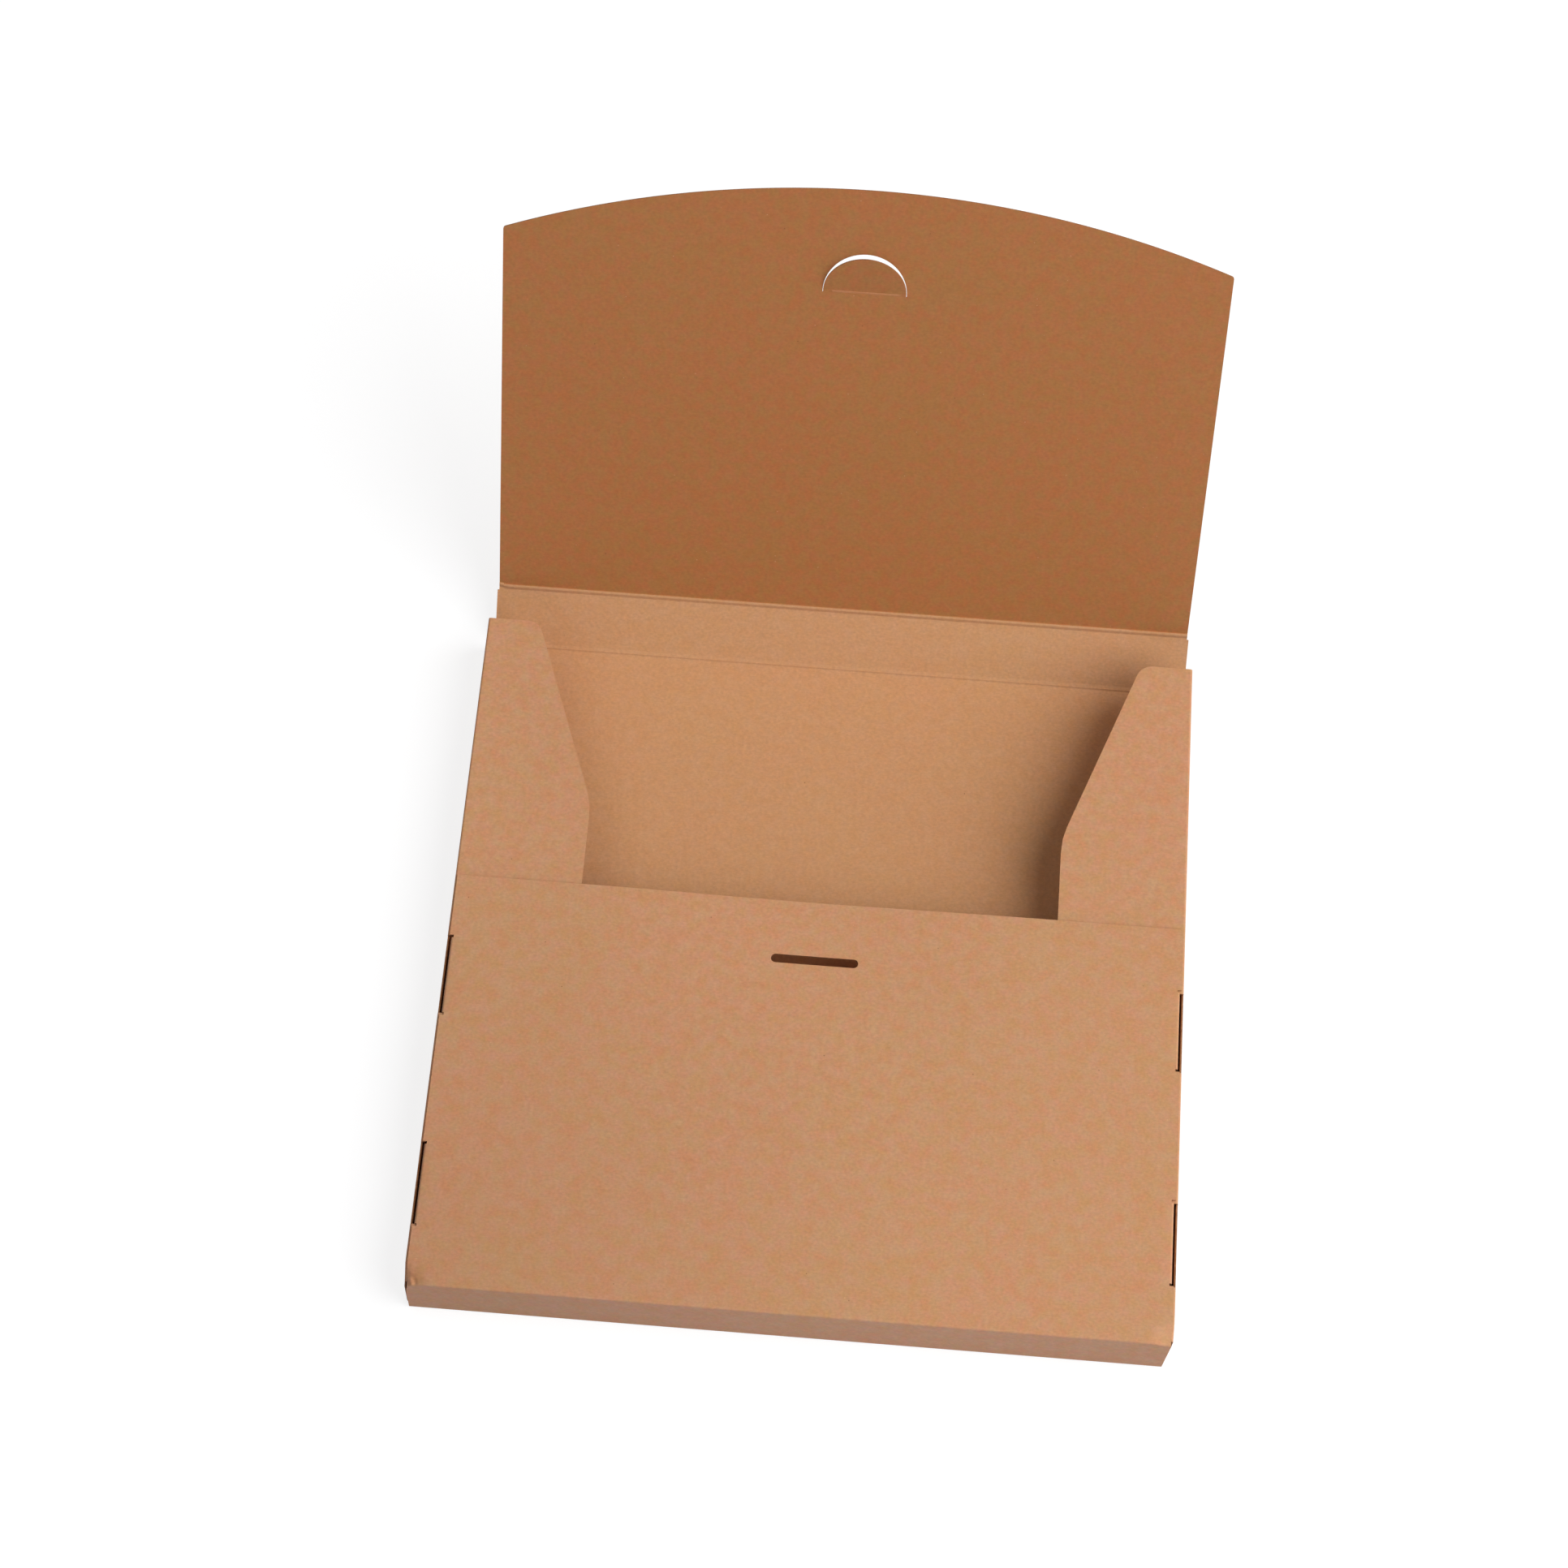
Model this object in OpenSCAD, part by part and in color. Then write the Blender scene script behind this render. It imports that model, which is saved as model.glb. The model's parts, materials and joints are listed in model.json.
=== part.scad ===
// Flat mailer box folded from one die-cut sheet of kraft board, with its lid standing open.
// The origin is the centre of the floor's underside, +Y points to the back wall and +Z points up.

/* [Board] */
// Thickness of the board
board = 0.5; // [0.3:0.1:1]
// Inside radius of a folded edge
fold_in = 0.3; // [0.1:0.1:1]
// Air between two layers of board that lie on each other
layer_gap = 0.2; // [0.1:0.05:0.5]
// Width of the score where one leaf folds against the next
score_gap = 0.1; // [0.05:0.05:0.3]

/* [Tray] */
// Outside width over the side walls
box_w = 250; // [200:1:320]
// Outside depth from the front wall to the back crease
box_d = 252; // [220:1:320]
// Outside height over the front panel
box_h = 22; // [16:1:60]
// From a side wall's outside face to the end of the front wall
front_inset = 0.8; // [0.6:0.1:3]
// Open slit between the front wall and the front end of a side wall
corner_slit = 1.4; // [0.2:0.1:2]
// From the back crease to the rear end of a side wall
side_setback = 1.3; // [1:0.1:4]

/* [Side panels] */
// Width of a side panel under the front panel
side_panel_w = 43.5; // [32:0.5:70]
// Width of a side panel at its rear end
side_end_w = 18; // [12:0.5:28]
// Length of the slanted stretch of its inner edge
side_slant_l = 71; // [50:1:90]
// Corner radius at its rear end
side_end_r = 6; // [1:0.5:8]
// Radius where the slant meets the straight stretch
side_knee_r = 30; // [5:1:60]

/* [Front panel] */
// Depth of the front panel, from the front wall to its rear edge
front_panel_d = 148.3; // [120:0.1:170]
// From the rear edge to the middle of the tuck slot
slot_setback = 21.8; // [12:0.1:40]
// Width of the tuck slot
slot_w = 3.2; // [2:0.1:4]
// Room at each end of the tuck slot beside the tuck tab
slot_end_gap = 0.65; // [0.3:0.05:2]

/* [Locking tabs] */
// Length of a locking tab along the edge of the front panel
lock_l = 28; // [15:0.5:32]
// Depth that a locking tab reaches down inside the box
lock_depth = 11; // [5:0.5:13]
// From the front wall to the front pair of tabs
lock_front = 21; // [10:0.5:25]
// From the front panel's rear edge to the rear pair of tabs
lock_rear = 23.7; // [10:0.1:25]
// From the edge of the front panel to the outside face of a tab
lock_inset = 0.6; // [0.2:0.1:1]
// Room between a tab and the ends of the slot that takes it
lock_gap = 0.5; // [0.3:0.1:1.5]
// Depth that the slot is cut down into the side wall
lock_cut = 1.4; // [1:0.1:3]

/* [Back wall and lid] */
// From the box's side to the end of the back wall
back_inset = 1; // [0.5:0.1:4]
// From the box's side to the edge of the lid
lid_inset = 1.6; // [1:0.1:6]
// Air under the closed lid
lid_gap = 0.3; // [0.2:0.05:1]
// From the tuck tab's root to the lid's free corners
lid_past_root = 15.4; // [15:0.1:40]
// Rise of the lid's arched edge above its corners
lid_rise = 22.5; // [5:0.1:40]
// Radius of the lid's free corners
lid_corner_r = 1.2; // [0.5:0.1:8]

/* [Tuck tab] */
// Radius of the half-round tuck tab
tuck_r = 14.15; // [8:0.05:14.5]
// Width of the cut round the tuck tab
tuck_kerf = 0.15; // [0.1:0.05:0.5]
// Distance that the tab's root lies in front of the middle of its slot, when shut
tuck_lead = 0.6; // [0:0.1:0.6]

/* [Open position] */
// Angle of the back wall above the table
back_deg = 42; // [15:1:75]
// Angle of the lid above the table
lid_deg = 62; // [30:1:100]
// Angle by which the tuck tab stands in from the lid
tuck_deg = 12; // [0:1:45]

/* [Hidden] */
$fn = 64;
corner_steps = 10;
kraft = [0.77, 0.56, 0.4];
kraft_shade = [0.66, 0.44, 0.28];

half_w = box_w / 2;
half_d = box_d / 2;
fold_out = fold_in + board;
bead_r = board / 2;

// Levels of the two layers on top of the box
side_top = box_h - board - layer_gap;
side_front_y = -half_d + board + corner_slit;
side_rear_y = half_d - side_setback;
side_run = side_rear_y - side_front_y;

front_half = half_w - front_inset;
panel_rear_y = -half_d + front_panel_d;
slot_y = panel_rear_y - slot_setback;
slot_l = 2 * (tuck_r + slot_end_gap);
lock_x = front_half - lock_inset;
lock_ys = [-half_d + lock_front + lock_l / 2, panel_rear_y - lock_rear - lock_l / 2];
lock_corner_r = 4;
lock_taper = 1.5;

// The back wall is as high as the box needs to shut over the front panel
back_h = box_h + lid_gap;
tuck_root = half_d - slot_y + tuck_lead;
lid_side_l = tuck_root + lid_past_root;
lid_half = half_w - lid_inset;
lid_arc_r = (lid_half ^ 2 + lid_rise ^ 2) / (2 * lid_rise);

function unit(v) = v / norm(v);

// Points of a closed outline, taken anticlockwise; a corner with a radius is rounded to it
function rounded(points, radii) = [
    for (i = [0:len(points) - 1])
        each radii[i] == 0 ? [points[i]] : corner_arc(
            points[i],
            unit(points[(i + len(points) - 1) % len(points)] - points[i]),
            unit(points[(i + 1) % len(points)] - points[i]),
            radii[i]
        )
];

// Arc that rounds the corner at a point, given the directions to its neighbours
function corner_arc(corner, before, after, r) =
    let (
        half_angle = acos(before * after) / 2,
        centre = corner + unit(before + after) * r / sin(half_angle),
        start = corner + before * r / tan(half_angle) - centre,
        first_deg = atan2(start.y, start.x),
        turn_deg = 180 - 2 * half_angle
    )
    [
        for (k = [0:corner_steps])
            let (a = first_deg + turn_deg * k / corner_steps)
                centre + r * [cos(a), sin(a)]
    ];

// A quarter bend of the board round the -Y axis, from an upright leaf to a level one on top
module bend(run) {
    rotate([90, 0, 0])
        rotate_extrude(angle = 90)
            translate([fold_in, 0])
                square([board, run]);
}

// Inner edge of a side panel: a slant at the rear, then straight on under the front panel
module side_panel_outline() {
    polygon(rounded(
        [
            [half_w - fold_out, side_front_y],
            [half_w - fold_out, side_rear_y],
            [half_w - side_end_w, side_rear_y],
            [half_w - side_panel_w, side_rear_y - side_slant_l],
            [half_w - side_panel_w, side_front_y]
        ],
        [0, 0, side_end_r, side_knee_r, 0]
    ));
}

// Slots along a side wall's top crease that take the locking tabs
module lock_slots() {
    inner_x = lock_x - fold_out - lock_gap;
    for (y = lock_ys)
        translate([inner_x, y - lock_l / 2 - lock_gap, side_top - lock_cut])
            cube([half_w + 1 - inner_x, lock_l + 2 * lock_gap, lock_cut + 1]);
}

// Right side wall with the panel that folds in from its top
module side_wall() {
    difference() {
        union() {
            translate([half_w - fold_out, side_rear_y, fold_out])
                mirror([0, 0, 1])
                    bend(side_run);
            translate([half_w - board, side_front_y, fold_out])
                cube([board, side_run, side_top - 2 * fold_out]);
            translate([half_w - fold_out, side_rear_y, side_top - fold_out])
                bend(side_run);
            translate([0, 0, side_top - board])
                linear_extrude(board)
                    side_panel_outline();
        }
        lock_slots();
    }
}

module floor_leaf() {
    floor_half = half_w - fold_out;
    front_y = -half_d + fold_out;
    translate([-floor_half, front_y, 0])
        cube([2 * floor_half, half_d - bead_r - score_gap - front_y, board]);
}

// Tab on the right edge of the front panel, bent down through its slot
module locking_tab(y) {
    translate([lock_x - fold_out, y + lock_l / 2, box_h - fold_out])
        bend(lock_l);
    translate([lock_x - board, y, box_h - fold_out])
        rotate([90, 0, 90])
            linear_extrude(board)
                polygon(rounded(
                    [
                        [lock_l / 2, 0],
                        [-lock_l / 2, 0],
                        [lock_taper - lock_l / 2, -lock_depth],
                        [lock_l / 2 - lock_taper, -lock_depth]
                    ],
                    [0, 0, lock_corner_r, lock_corner_r]
                ));
}

module front_panel() {
    difference() {
        translate([-front_half, -half_d + fold_out, box_h - board])
            cube([2 * front_half, front_panel_d - fold_out, board]);
        // Stadium slot for the tuck tab
        translate([0, slot_y, box_h - 2 * board])
            linear_extrude(3 * board)
                for (end = [-1, 1]) {
                    square([slot_l - slot_w, slot_w], center = true);
                    translate([end * (slot_l - slot_w) / 2, 0])
                        circle(d = slot_w);
                }
        // Notches beside the locking tabs
        for (side = [-1, 1], y = lock_ys)
            translate([side * (lock_x - fold_out + front_inset + lock_inset), y, box_h])
                cube([2 * (front_inset + lock_inset), lock_l + lock_gap, 3 * board], center = true);
    }
    for (side = [0, 1], y = lock_ys)
        mirror([side, 0, 0])
            locking_tab(y);
}

module front_wall() {
    translate([front_half, -half_d + fold_out, fold_out])
        rotate([0, 0, -90])
            mirror([0, 0, 1])
                bend(2 * front_half);
    translate([-front_half, -half_d, fold_out])
        cube([2 * front_half, board, box_h - 2 * fold_out]);
    translate([front_half, -half_d + fold_out, box_h - fold_out])
        rotate([0, 0, -90])
            bend(2 * front_half);
}

module tray() {
    color(kraft) {
        floor_leaf();
        for (side = [0, 1])
            mirror([side, 0, 0])
                side_wall();
        front_wall();
        front_panel();
    }
}

// Places a leaf that is drawn flat, its crease along X through the origin, on the back crease
module on_back_wall() {
    translate([0, half_d, bead_r])
        rotate([back_deg, 0, 0])
            children();
}

module on_lid() {
    on_back_wall()
        translate([0, back_h, 0])
            rotate([lid_deg - back_deg, 0, 0])
                children();
}

// Rounded root of a leaf, which turns on its crease
module bead(run) {
    rotate([0, 90, 0])
        cylinder(r = bead_r, h = run, center = true);
}

module back_wall() {
    back_half = half_w - back_inset;
    color(kraft)
        on_back_wall() {
            bead(2 * back_half);
            translate([-back_half, 0, -bead_r])
                cube([2 * back_half, back_h - bead_r - score_gap, board]);
        }
}

module lid_outline() {
    intersection() {
        polygon(rounded(
            [
                [-lid_half, 0],
                [lid_half, 0],
                [lid_half, lid_side_l + lid_rise],
                [-lid_half, lid_side_l + lid_rise]
            ],
            [0, 0, lid_corner_r, lid_corner_r]
        ));
        translate([0, lid_side_l + lid_rise - lid_arc_r])
            circle(r = lid_arc_r, $fn = 360);
    }
}

// Half-round cut round the tuck tab, down to just below its root
module tuck_cut() {
    cut_r = tuck_r + tuck_kerf;
    below = bead_r + score_gap;
    translate([0, tuck_root])
        intersection() {
            union() {
                circle(r = cut_r);
                translate([-cut_r, -below])
                    square([2 * cut_r, below]);
            }
            translate([-cut_r, -below])
                square([2 * cut_r, cut_r + below]);
        }
}

module lid() {
    color(kraft_shade)
        on_lid() {
            bead(2 * lid_half);
            translate([0, 0, -bead_r])
                linear_extrude(board)
                    difference() {
                        lid_outline();
                        tuck_cut();
                    }
        }
}

module tuck_tab() {
    color(kraft_shade)
        on_lid()
            translate([0, tuck_root, 0])
                rotate([tuck_deg, 0, 0]) {
                    bead(2 * tuck_r);
                    translate([0, 0, -bead_r])
                        linear_extrude(board)
                            intersection() {
                                circle(r = tuck_r);
                                translate([-tuck_r, 0])
                                    square([2 * tuck_r, tuck_r]);
                            }
                }
}

tray();
back_wall();
lid();
tuck_tab();
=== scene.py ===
# A flat mailer box of kraft board, standing open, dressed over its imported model.
# The sheets are worked out in millimetres and written in metres.
import json
import math

import bpy
import numpy
from mathutils import Matrix, Vector, noise
from mathutils.geometry import delaunay_2d_cdt


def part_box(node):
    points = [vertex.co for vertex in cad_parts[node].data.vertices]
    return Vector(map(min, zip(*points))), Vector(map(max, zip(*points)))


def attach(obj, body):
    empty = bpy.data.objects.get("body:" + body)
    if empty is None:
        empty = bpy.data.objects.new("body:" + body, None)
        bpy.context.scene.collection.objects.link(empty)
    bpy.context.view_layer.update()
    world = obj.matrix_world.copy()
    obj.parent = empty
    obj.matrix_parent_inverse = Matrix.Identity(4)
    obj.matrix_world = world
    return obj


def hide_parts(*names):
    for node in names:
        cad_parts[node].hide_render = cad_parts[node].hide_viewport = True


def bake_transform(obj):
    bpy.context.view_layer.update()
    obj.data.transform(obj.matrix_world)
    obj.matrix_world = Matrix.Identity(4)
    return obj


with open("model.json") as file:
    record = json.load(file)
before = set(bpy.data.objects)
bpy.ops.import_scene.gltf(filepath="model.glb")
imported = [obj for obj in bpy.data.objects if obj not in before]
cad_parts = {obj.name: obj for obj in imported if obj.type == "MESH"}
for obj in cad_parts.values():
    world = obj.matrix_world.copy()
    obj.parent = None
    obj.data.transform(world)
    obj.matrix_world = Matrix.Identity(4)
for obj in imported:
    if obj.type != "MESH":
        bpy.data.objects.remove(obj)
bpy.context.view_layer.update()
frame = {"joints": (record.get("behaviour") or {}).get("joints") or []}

MM = 0.001


def joint(name):
    """A joint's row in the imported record."""
    return next(j for j in frame["joints"] if j["name"] == name)


def crease(name):
    """Place of a fold's axis, in millimetres."""
    return Vector(joint(name)["pos_m"]) / MM


def rest_fold(name):
    """Angle by which a fold stands away from flat in the open box."""
    return math.radians(-joint(name)["range_deg"][0])


# Sizes that come from the frame
tray_low, tray_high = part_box("tray")
HALF_W = tray_high.x / MM
HALF_D = -tray_low.y / MM
BOX_H = tray_high.z / MM
BACK_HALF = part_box("back_wall")[1].x / MM
LID_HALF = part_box("lid")[1].x / MM
TUCK_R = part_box("tuck_tab")[1].x / MM
BACK_CREASE = crease("back_wall_fold")
LID_CREASE = crease("lid_fold")
TUCK_CREASE = crease("tuck_tab_fold")
BACK_FOLD = rest_fold("back_wall_fold")
LID_FOLD = rest_fold("lid_fold")
TUCK_FOLD = rest_fold("tuck_tab_fold")
BACK_H = (LID_CREASE - BACK_CREASE).length
TUCK_ROOT = (TUCK_CREASE - LID_CREASE).length

# The board and its folds
BOARD = 0.5
FOLD_IN = 0.3
FOLD_OUT = FOLD_IN + BOARD
FOLD_MID = FOLD_IN + BOARD / 2
FOLD_ARC = FOLD_MID * math.pi / 2
LAYER_GAP = 0.2

# Material slots of a sheet: its two faces and its cut edge, then the lines along a crease, which carry
# painted shade or a painted highlight
INSIDE_SLOT, OUTSIDE_SLOT, CUT_SLOT, LINE_SLOT, CREASE_SHADE_SLOT = range(5)

# Mesh: its step, how clear its inner points stay of an outline, and the finer steps at soft corners
MESH_STEP = 3.0
CLEAR_SHARE = 0.3
MERGE_DISTANCE = 1e-5
CORNER_STEP = 1.0
PLEAT_STEP = 0.35
PLEAT_MESH_REACH = 5.0
PLEAT_MESH_INSET = 1.5
ARC_STEPS = 40
ROUND_STEP_DEG = 9
SHARP_DEG = 35

# Tray: its sizes are those of the part's source, under the same names where they are the same thing
FRONT_INSET = 0.8
CORNER_SLIT = 1.4
SIDE_SETBACK = 1.3
FRONT_HALF = HALF_W - FRONT_INSET
SIDE_FRONT_Y = -HALF_D + BOARD + CORNER_SLIT
SIDE_REAR_Y = HALF_D - SIDE_SETBACK
SIDE_TOP = BOX_H - BOARD - LAYER_GAP
SIDE_PANEL_W = 43.5
SIDE_END_W = 18.0
SIDE_SLANT_L = 71.0
SIDE_END_R = 6.0
SIDE_KNEE_R = 30.0
FRONT_PANEL_D = 148.3
PANEL_REAR_Y = -HALF_D + FRONT_PANEL_D
SLOT_SETBACK = 21.8
SLOT_W = 3.2
SLOT_END_GAP = 0.65
SLOT_ROUND = 0.98
SLOT_Y = PANEL_REAR_Y - SLOT_SETBACK
SLOT_HALF = TUCK_R + SLOT_END_GAP
LOCK_L = 28.0
LOCK_DEPTH = 11.0
LOCK_FRONT = 21.0
LOCK_REAR = 23.7
LOCK_INSET = 0.6
LOCK_X = FRONT_HALF - LOCK_INSET - FOLD_OUT
LOCK_YS = (-HALF_D + LOCK_FRONT + LOCK_L / 2, PANEL_REAR_Y - LOCK_REAR - LOCK_L / 2)
LOCK_GAP = 0.5
LOCK_NOTCH = 0.9
LOCK_SHIFT = 0.5
LOCK_CUT = 1.4
LOCK_R = 4.0
LOCK_TAPER = 1.5

# Lid
LID_PAST_ROOT = 15.4
LID_SIDE_L = TUCK_ROOT + LID_PAST_ROOT
LID_RISE = 22.5
LID_CORNER_R = 1.2
TUCK_KERF = 0.15

# Creases: half of the strip of board that one takes up, its bend, and where its blend ends
CREASE_W = 2.2
TUCK_CREASE_W = 0.7
BEND_R = 0.9
STRIP_STEP = 0.08
BLEND_SHARE = 0.8

# Pressed beads: height, then where the near flank starts and ends and where the far flank does.
# The tuck tab's is even, and a paler line runs along it: a painted highlight.
LID_BEAD = (0.42, -1.9, -0.5, -0.05, 0.45)
BACK_BEAD = (0.42, -1.05, -0.4, -0.2, 1.5)
# Spans of a line of painted shade beside the lid's crease and beside the back wall's crease
LID_CREASE_SHADE = (-1.6, -0.75)
BACK_CREASE_SHADE = (-0.7, -0.1)
TUCK_BEAD_HEIGHT = 0.12
TUCK_BEAD_HALF = 0.4
TUCK_BEAD_SHIFT = 0.6
TUCK_LINE_END = 3.0

# The lid's crease turns up at its left end, and the lid's painted shade starts a little past it
LID_CREASE_TURN = 0.6
LID_CREASE_TURN_L = 3.0
LID_SHADE_START = 0.2

# Where handling has left the front panel and the lid: how far they sag and ripple, and from where
PANEL_SAG = 1.1
PANEL_SAG_START = 20.0
OPENING_HALF = 80.0
PANEL_RIPPLE = 0.12
PANEL_RIPPLE_SIZE = 35.0
PANEL_RIPPLE_START = 30.0
LID_RIPPLE = 0.3
LID_RIPPLE_SIZE = 60.0
LID_RIPPLE_START = 40.0
TAB_STIFF = 30.0

# The soft front corners, the left shoulder, the tucked right end and the pleat at the left corner
CORNER_DROOP = 1.4
CORNER_REACH = 9.0
CORNER_PINCH = {-1: 0.6, 1: 0.2}
SHOULDER_DROP = 1.1
SHOULDER_W = 2.4
SHOULDER_L = 10.0
RIGHT_TUCK = 1.2
RIGHT_TUCK_REACH = 25.0
PLEAT_R = 3.2
PLEAT_HEIGHT = 0.22
PLEAT_SPREAD = 0.65
PLEAT_HALF = 1.1

# Painted shade that darkens the paper round the front left corner: its core, its reach and its tone
CORNER_SHADE_CORE = 10.0
CORNER_SHADE_REACH = 170.0
CORNER_SHADE_TONE = 0.87

# Paper texture: sizes of its patches in millimetres; specks as spacing, radius and share of cells
MOTTLE_SIZE = 3.4
DRIFT_SIZE = 40.0
GRAIN_SIZE = 1.1
FIBRE_SIZE = 0.5
FIBRE_STRETCH = (2.5, 1, 1)
TINT_SIZE = 4.1
LAYER_SIZE = 0.12
LAYER_STRETCH = (14, 14, 1)
FUZZ_SIZE = 0.4
BUMP_HEIGHT = 0.03
DARK_SPECKS = (7.0, 0.28, 0.25)
PALE_SPECKS = (3.1, 0.22, 0.2)


def rounded(corners):
    """Points of an outline whose corners are given as u, v and a radius."""
    points = []
    for i, (u, v, radius) in enumerate(corners):
        corner = Vector((u, v))
        if radius == 0:
            points.append(corner)
            continue
        before = (Vector(corners[i - 1][:2]) - corner).normalized()
        after = (Vector(corners[(i + 1) % len(corners)][:2]) - corner).normalized()
        half = before.angle(after) / 2
        centre = corner + (before + after).normalized() * radius / math.sin(half)
        first = corner + before * radius / math.tan(half) - centre
        last = corner + after * radius / math.tan(half) - centre
        turn = first.angle_signed(last)
        steps = max(2, round(abs(math.degrees(turn)) / ROUND_STEP_DEG))
        for k in range(steps + 1):
            points.append(centre + Matrix.Rotation(-turn * k / steps, 2) @ first)
    return points


def mirrored(right):
    """A whole outline from the corners of its right half."""
    left = [(-u, v, radius) for u, v, radius in reversed(right) if u > 0]
    return right + left


def rectangle(u0, v0, u1, v1):
    """Sharp corners of a rectangle, for rounded."""
    return [(u0, v0, 0), (u1, v0, 0), (u1, v1, 0), (u0, v1, 0)]


def step_at(point, step, spots):
    """Mesh step at a point of the flat board; a spot is a centre, its reach and the finer step there."""
    return min([step] + [fine for centre, reach, fine in spots if (point - centre).length < reach])


def divided(points, step, spots=(), closed=True):
    """An outline or row of points with more added wherever a side is longer than the step there."""
    out = []
    for p, q in zip(points, points[1:] + points[:1] * closed):
        coarse = max(1, math.ceil((q - p).length / step))
        for k in range(coarse):
            a, b = p.lerp(q, k / coarse), p.lerp(q, (k + 1) / coarse)
            pieces = max(1, math.ceil((b - a).length / step_at((a + b) / 2, step, spots)))
            out += [a.lerp(b, i / pieces) for i in range(pieces)]
    return out if closed else out + points[-1:]


def clear_of(points, sides, reach):
    """The points that lie further than reach from every side."""
    places = numpy.array(points)
    clear = numpy.ones(len(points), bool)
    for a, b in sides:
        side = numpy.array(b - a)
        along = numpy.clip((places - a) @ side / (side @ side), 0, 1)
        clear &= numpy.linalg.norm(places - a - along[:, None] * side, axis=1) > reach
    return [p for p, kept in zip(points, clear) if kept]


def span(low, high, step):
    """Even values from low to high, both kept."""
    pieces = max(1, round((high - low) / step))
    return [low + (high - low) * k / pieces for k in range(pieces + 1)]


def spot_lattice(centre, reach, fine):
    """Finer points round one spot."""
    offsets = span(-reach, reach, fine)
    points = [centre + Vector((u, v)) for u in offsets for v in offsets]
    return [p for p in points if (p - centre).length < reach]


def triangulate(outline, holes, lattice, rows, step, spots=()):
    """Flat triangles of an outline with holes, on a lattice of points and through rows of points."""
    loops = [divided(outline, step, spots)] + [divided(hole, step / 2, spots) for hole in holes]
    points, loop_ids = [], []
    for loop in loops:
        loop_ids.append(list(range(len(points), len(points) + len(loop))))
        points += loop
    edges = []
    for row in rows:
        first = len(points)
        points += divided(row, step, spots, closed=False)
        edges += [(k, k + 1) for k in range(first, len(points) - 1)]
    sides = [side for loop in loops for side in zip(loop, loop[1:] + loop[:1])]
    sides += [(row[0], row[-1]) for row in rows]
    coarse = [p for p in lattice if step_at(p, step, spots) == step]
    if coarse:
        points += clear_of(coarse, sides, step * CLEAR_SHARE)
    for centre, reach, fine in spots:
        inner = [p for p in spot_lattice(centre, reach, fine) if step_at(p, step, spots) == fine]
        points += clear_of(inner, sides, fine * CLEAR_SHARE)
    coords, _, faces, _, _, origins = delaunay_2d_cdt(points, edges, loop_ids, 0, MERGE_DISTANCE)
    kept = [face for face, origin in zip(faces, origins) if list(origin) == [0]]
    return coords, kept


def board_faces(coords, faces, used):
    """Faces of the inside, outside and cut edge; the outside's points come after the inside's."""
    index = {old: new for new, old in enumerate(used)}
    count = len(used)
    inside_faces, borders = [], {}
    for face in faces:
        a, b, c = (index[i] for i in face)
        if (coords[face[1]] - coords[face[0]]).cross(coords[face[2]] - coords[face[0]]) < 0:
            b, c = c, b
        inside_faces.append((a, b, c))
        for edge in ((a, b), (b, c), (c, a)):
            if edge[::-1] in borders:
                del borders[edge[::-1]]
            else:
                borders[edge] = True
    outside_faces = [(a + count, c + count, b + count) for a, b, c in inside_faces]
    cut_faces = [(b, a, a + count, b + count) for a, b in borders]
    return inside_faces, outside_faces, cut_faces


def sheet(name, triangles, place, inside_slot=lambda u, v: INSIDE_SLOT):
    """Board of full thickness over flat triangles; place gives a point's middle and inside normal."""
    coords, faces = triangles
    used = sorted({i for face in faces for i in face})
    inside, outside = [], []
    for i in used:
        middle, normal = place(*coords[i])
        inside.append((middle + normal * BOARD / 2) * MM)
        outside.append((middle - normal * BOARD / 2) * MM)
    inside_faces, outside_faces, cut_faces = board_faces(coords, faces, used)
    centres = [sum((coords[i] for i in face), Vector((0, 0))) / 3 for face in faces]
    inside_slots = [inside_slot(*centre) for centre in centres]
    mesh = bpy.data.meshes.new(name)
    mesh.from_pydata(inside + outside, [], inside_faces + outside_faces + cut_faces)
    slots = inside_slots + [OUTSIDE_SLOT] * len(outside_faces) + [CUT_SLOT] * len(cut_faces)
    for slot, polygon in zip(slots, mesh.polygons):
        polygon.use_smooth = True
        polygon.material_index = slot
    mesh.set_sharp_from_angle(angle=math.radians(SHARP_DEG))
    piece = bpy.data.objects.new(name, mesh)
    bpy.context.collection.objects.link(piece)
    return piece


def folded(run, leaves):
    """Place along a strip that folds by a right angle after each leaf: out, up and heading."""
    out, up, heading = 0.0, 0.0, 0.0
    for length in leaves:
        straight = min(run, length)
        out += straight * math.cos(heading)
        up += straight * math.sin(heading)
        run -= straight
        arc = max(0.0, min(run, FOLD_ARC))
        swept = arc / FOLD_MID
        out += FOLD_MID * (math.sin(heading + swept) - math.sin(heading))
        up -= FOLD_MID * (math.cos(heading + swept) - math.cos(heading))
        heading += swept
        run -= arc
    out += run * math.cos(heading)
    up += run * math.sin(heading)
    return out, up, heading


# Flat layout of the tray: the floor in the middle, an arm on each side and one in front
FLOOR_HALF = HALF_W - FOLD_OUT
FLOOR_FRONT = -HALF_D + FOLD_OUT
FLOOR_REAR = BACK_CREASE.y - CREASE_W
SIDE_WALL = SIDE_TOP - 2 * FOLD_OUT
FRONT_WALL = BOX_H - 2 * FOLD_OUT


def side_u(x):
    """Flat place of a line on the side panel, from its place across the box."""
    return FLOOR_HALF + 2 * FOLD_ARC + SIDE_WALL + (FLOOR_HALF - x)


def panel_v(y):
    """Flat place of a line on the front panel, from its place along the box."""
    return FLOOR_FRONT - 2 * FOLD_ARC - FRONT_WALL - (y - FLOOR_FRONT)


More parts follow.
